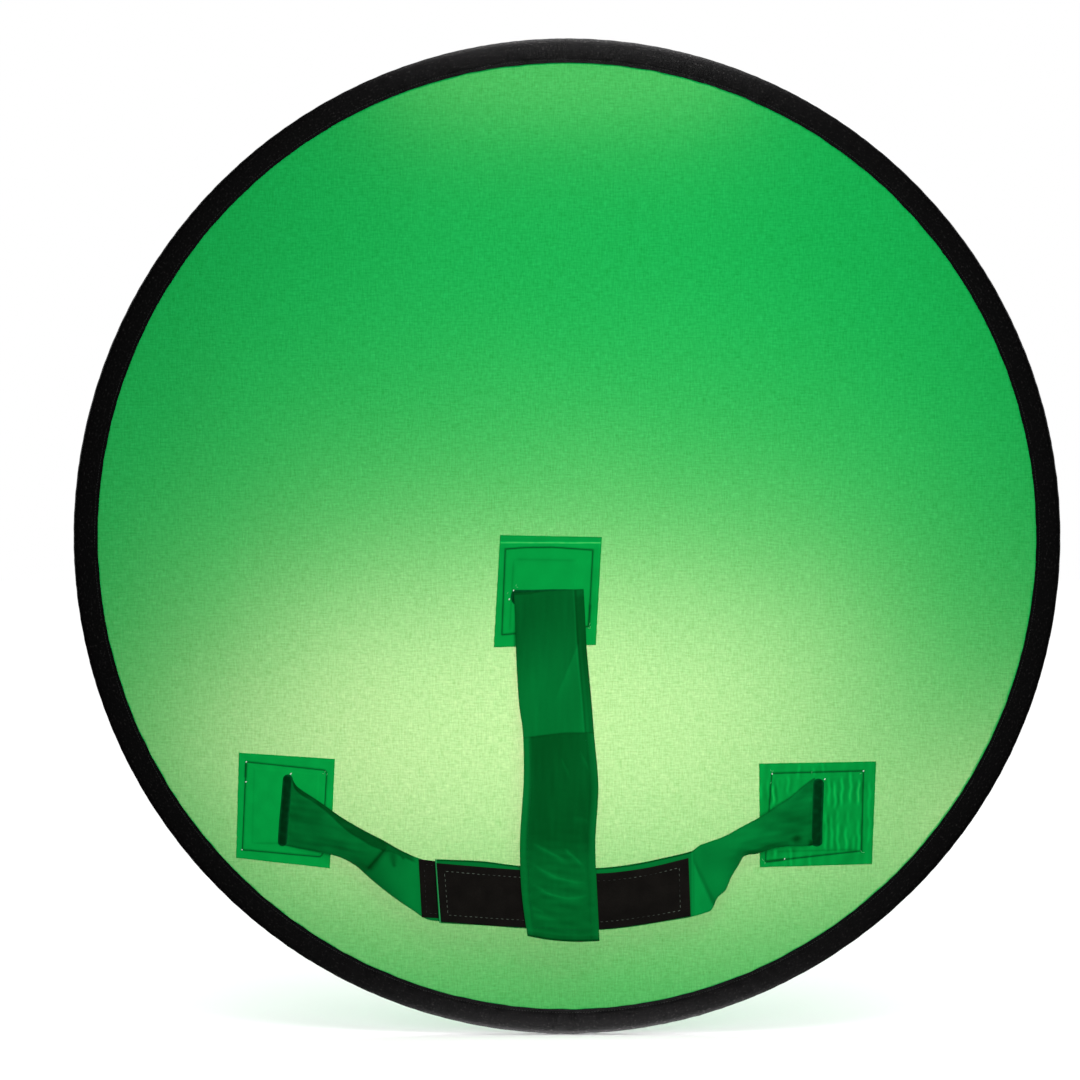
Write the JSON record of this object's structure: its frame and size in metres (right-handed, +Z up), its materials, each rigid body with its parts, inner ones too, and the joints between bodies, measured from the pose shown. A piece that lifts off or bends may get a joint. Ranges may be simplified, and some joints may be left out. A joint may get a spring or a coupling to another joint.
{
  "type": "collapsible round backdrop with chair harness",
  "caption": "Round sprung-hoop green cloth backdrop, upright, with three sewn straps and hook-and-loop tapes that wrap a chair back.",
  "frame": {"origin": "centre of the disc, on the rear face of the cloth panel", "axes": "+Z up in the disc's plane, +X to the right seen from the harness side, +Y out of the rear face; the harness side faces -Y"},
  "size_m": [1.408, 0.056, 1.42],
  "materials": {
    "panel_cloth": "thin stretched green polyester, fine slub weave, lets light through",
    "patch_nylon": "smooth green nylon with a slight gloss",
    "strap_nylon": "doubled green nylon with a slight gloss",
    "interfacing": "matt non-woven stiffener",
    "binding_cloth": "matt black woven polyester",
    "loop_pile": "black napped loop pile",
    "hook_pile": "black hook tape",
    "green_thread": "green sewing thread",
    "black_thread": "black sewing thread",
    "spring_steel": "bare tempered steel"
  },
  "bodies": {
    "screen": {"steel_hoop": "spring_steel", "hoop_ferrule": "spring_steel", "backdrop_panel": "panel_cloth", "rim_binding": "binding_cloth", "rim_needle_thread": "black_thread", "rim_bobbin_thread": "black_thread", "centre_patch_interfacing": "interfacing", "centre_patch": "patch_nylon", "centre_patch_thread": "green_thread", "centre_seam_bar": "strap_nylon", "left_patch_interfacing": "interfacing", "left_patch": "patch_nylon", "left_patch_thread": "green_thread", "left_seam_bar": "strap_nylon", "right_patch_interfacing": "interfacing", "right_patch": "patch_nylon", "right_patch_thread": "green_thread", "right_seam_bar": "strap_nylon"},
    "centre_flap": {"centre_strap": "strap_nylon", "centre_hook_tape": "hook_pile", "centre_tape_thread": "green_thread"},
    "right_belt": {"right_strap": "strap_nylon", "right_loop_tape": "loop_pile", "right_hook_tape": "hook_pile", "right_tape_thread": "black_thread"},
    "left_belt": {"left_strap": "strap_nylon", "left_loop_tape": "loop_pile", "left_tape_thread": "black_thread"}
  },
  "joints": [
    {"name": "centre_seam", "type": "hinge", "parent": "screen", "child": "centre_flap", "pos_m": [-0.028, -0.006, -0.0758], "axis": [-1, 0, 0], "range_deg": [0, 170]},
    {"name": "right_seam", "type": "hinge", "parent": "screen", "child": "right_belt", "pos_m": [0.349, -0.0058, -0.394], "axis": [0.0416, 0, 0.9991], "range_deg": [0, 144.5]},
    {"name": "left_seam", "type": "hinge", "parent": "screen", "child": "left_belt", "pos_m": [-0.3952, -0.0058, -0.3912], "axis": [-0.0834, 0, -0.9965], "range_deg": [0, 110.5]}
  ],
  "couplings": [
    {"joint": "right_seam", "follows": "centre_seam", "ratio": 0.85},
    {"joint": "left_seam", "follows": "centre_seam", "ratio": 0.65}
  ]
}
